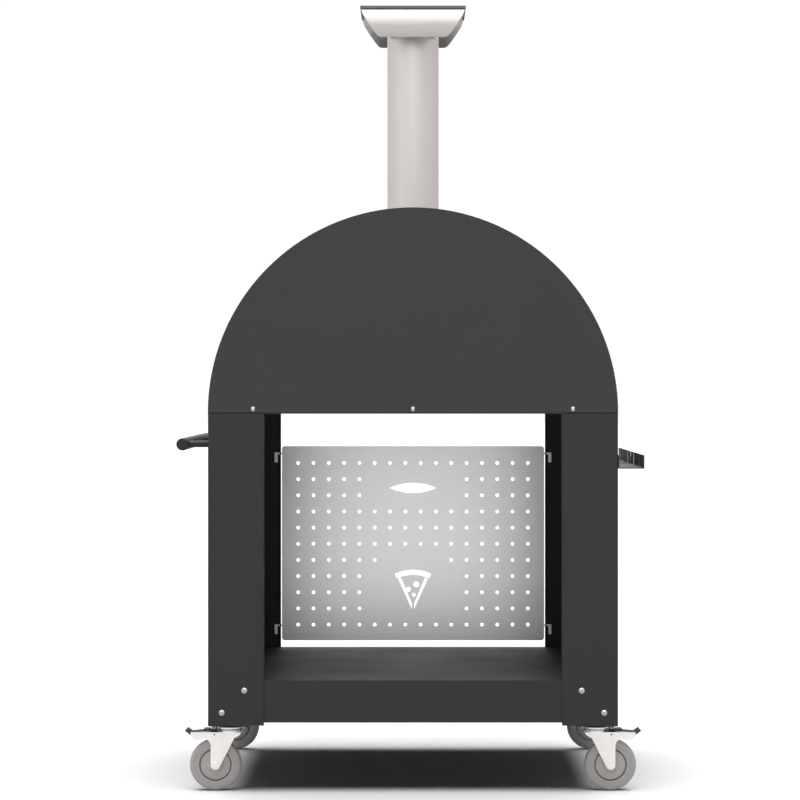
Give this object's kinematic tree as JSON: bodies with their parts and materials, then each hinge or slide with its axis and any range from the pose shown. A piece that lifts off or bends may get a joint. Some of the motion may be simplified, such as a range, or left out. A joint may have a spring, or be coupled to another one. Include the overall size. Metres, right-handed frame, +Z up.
{
  "type": "wood fired pizza oven",
  "caption": "Domed outdoor wood fired oven on a wheeled cart, with flue, cowl, door, perforated tool panel, push bar and peel rack.",
  "frame": {"origin": "on the floor, under the middle of the overall footprint", "axes": "+Z up; the mouth faces -Y and the plain back faces +Y; the push bar is on +X and the peel rack on -X"},
  "size_m": [1.142, 0.8667, 2.009],
  "materials": {
    "casing_paint": "satin charcoal powder coat",
    "cart_paint": "satin charcoal powder coat",
    "cap_plastic": "moulded, matt",
    "bright_screws": "plain stainless",
    "stainless": "satin brushed",
    "zinc": "bright zinc plate",
    "hub_plastic": "moulded nylon",
    "grey_rubber": "moulded grey rubber",
    "pedal_steel": "dark coated steel",
    "fibre_board": "pressed mineral fibre board",
    "ceramic_wool": "spun ceramic fibre blanket",
    "firebrick": "pressed, sawn face",
    "grip_wood": "oiled, turned",
    "dial_paint": "matt white enamel",
    "lens_glass": "clear",
    "needle_paint": "matt"
  },
  "bodies": {
    "cart": {"back_panel": "casing_paint", "base_tray": "casing_paint", "caster_bolts": "zinc", "caster_mount_front_left": "zinc", "caster_mount_front_right": "zinc", "caster_mount_rear_left": "zinc", "caster_mount_rear_right": "zinc", "chamber_back": "stainless", "chamber_front": "stainless", "cowl_lid": "casing_paint", "cowl_plates": "stainless", "cowl_straps": "stainless", "facade": "casing_paint", "floor_tiles": "firebrick", "flue_collar": "stainless", "flue_pipe": "stainless", "frame_screws": "bright_screws", "insulation_board": "fibre_board", "insulation_wool": "ceramic_wool", "peel_rack": "cart_paint", "push_bar": "cart_paint", "push_bar_caps": "cap_plastic", "push_bar_posts": "cart_paint", "roof_shell": "casing_paint", "shelf_tray": "cart_paint", "side_panel_left": "cart_paint", "side_panel_right": "cart_paint", "sill": "stainless", "smoke_hood": "stainless", "thermometer_case": "stainless", "thermometer_dial": "dial_paint", "thermometer_lens": "lens_glass", "trim_screws": "bright_screws", "vault": "stainless"},
    "swivel_front_left": {"caster_fork_front_left": "zinc", "caster_axle_front_left": "zinc"},
    "wheel_front_left": {"caster_hub_front_left": "hub_plastic", "caster_tyre_front_left": "grey_rubber"},
    "pedal_front_left": {"brake_pedal_front_left": "pedal_steel"},
    "swivel_rear_left": {"caster_fork_rear_left": "zinc", "caster_axle_rear_left": "zinc"},
    "wheel_rear_left": {"caster_hub_rear_left": "hub_plastic", "caster_tyre_rear_left": "grey_rubber"},
    "pedal_rear_left": {"brake_pedal_rear_left": "pedal_steel"},
    "swivel_front_right": {"caster_fork_front_right": "zinc", "caster_axle_front_right": "zinc"},
    "wheel_front_right": {"caster_hub_front_right": "hub_plastic", "caster_tyre_front_right": "grey_rubber"},
    "pedal_front_right": {"brake_pedal_front_right": "pedal_steel"},
    "swivel_rear_right": {"caster_fork_rear_right": "zinc", "caster_axle_rear_right": "zinc"},
    "wheel_rear_right": {"caster_hub_rear_right": "hub_plastic", "caster_tyre_rear_right": "grey_rubber"},
    "pedal_rear_right": {"brake_pedal_rear_right": "pedal_steel"},
    "tool_panel": {"tool_panel": "stainless"},
    "door": {"door_panel": "stainless", "door_brackets": "stainless", "door_grip": "grip_wood"},
    "needle": {"thermometer_needle": "needle_paint"}
  },
  "joints": [
    {"name": "swivel_front_left", "type": "hinge", "parent": "cart", "child": "swivel_front_left", "pos_m": [-0.449, -0.32, 0.15], "axis": [0, 0, 1], "continuous": true},
    {"name": "wheel_front_left", "type": "hinge", "parent": "swivel_front_left", "child": "wheel_front_left", "pos_m": [-0.484, -0.32, 0.0635], "axis": [0, 1, 0], "continuous": true},
    {"name": "pedal_front_left", "type": "hinge", "parent": "swivel_front_left", "child": "pedal_front_left", "pos_m": [-0.486, -0.32, 0.1385], "axis": [0, 1, 0], "range_deg": [0, 8]},
    {"name": "swivel_rear_left", "type": "hinge", "parent": "cart", "child": "swivel_rear_left", "pos_m": [-0.449, 0.38, 0.15], "axis": [0, 0, 1], "continuous": true},
    {"name": "wheel_rear_left", "type": "hinge", "parent": "swivel_rear_left", "child": "wheel_rear_left", "pos_m": [-0.484, 0.38, 0.0635], "axis": [0, 1, 0], "continuous": true},
    {"name": "pedal_rear_left", "type": "hinge", "parent": "swivel_rear_left", "child": "pedal_rear_left", "pos_m": [-0.486, 0.38, 0.1385], "axis": [0, 1, 0], "range_deg": [0, 8]},
    {"name": "swivel_front_right", "type": "hinge", "parent": "cart", "child": "swivel_front_right", "pos_m": [0.449, -0.32, 0.15], "axis": [0, 0, 1], "continuous": true},
    {"name": "wheel_front_right", "type": "hinge", "parent": "swivel_front_right", "child": "wheel_front_right", "pos_m": [0.484, -0.32, 0.0635], "axis": [0, 1, 0], "continuous": true},
    {"name": "pedal_front_right", "type": "hinge", "parent": "swivel_front_right", "child": "pedal_front_right", "pos_m": [0.486, -0.32, 0.1385], "axis": [0, -1, 0], "range_deg": [0, 8]},
    {"name": "swivel_rear_right", "type": "hinge", "parent": "cart", "child": "swivel_rear_right", "pos_m": [0.449, 0.38, 0.15], "axis": [0, 0, 1], "continuous": true},
    {"name": "wheel_rear_right", "type": "hinge", "parent": "swivel_rear_right", "child": "wheel_rear_right", "pos_m": [0.484, 0.38, 0.0635], "axis": [0, 1, 0], "continuous": true},
    {"name": "pedal_rear_right", "type": "hinge", "parent": "swivel_rear_right", "child": "pedal_rear_right", "pos_m": [0.486, 0.38, 0.1385], "axis": [0, -1, 0], "range_deg": [0, 8]},
    {"name": "tool_panel_lift", "type": "slide", "parent": "cart", "child": "tool_panel", "axis": [0, 0, 1], "range_m": [0, 0.03]},
    {"name": "door_pull", "type": "slide", "parent": "cart", "child": "door", "axis": [0, -1, 0], "range_m": [0, 0.3]},
    {"name": "needle_turn", "type": "hinge", "parent": "cart", "child": "needle", "pos_m": [0.33, -0.384, 1.12], "axis": [0, 1, 0], "range_deg": [0, 270], "stiffness_Nm_per_rad": 0.002}
  ]
}
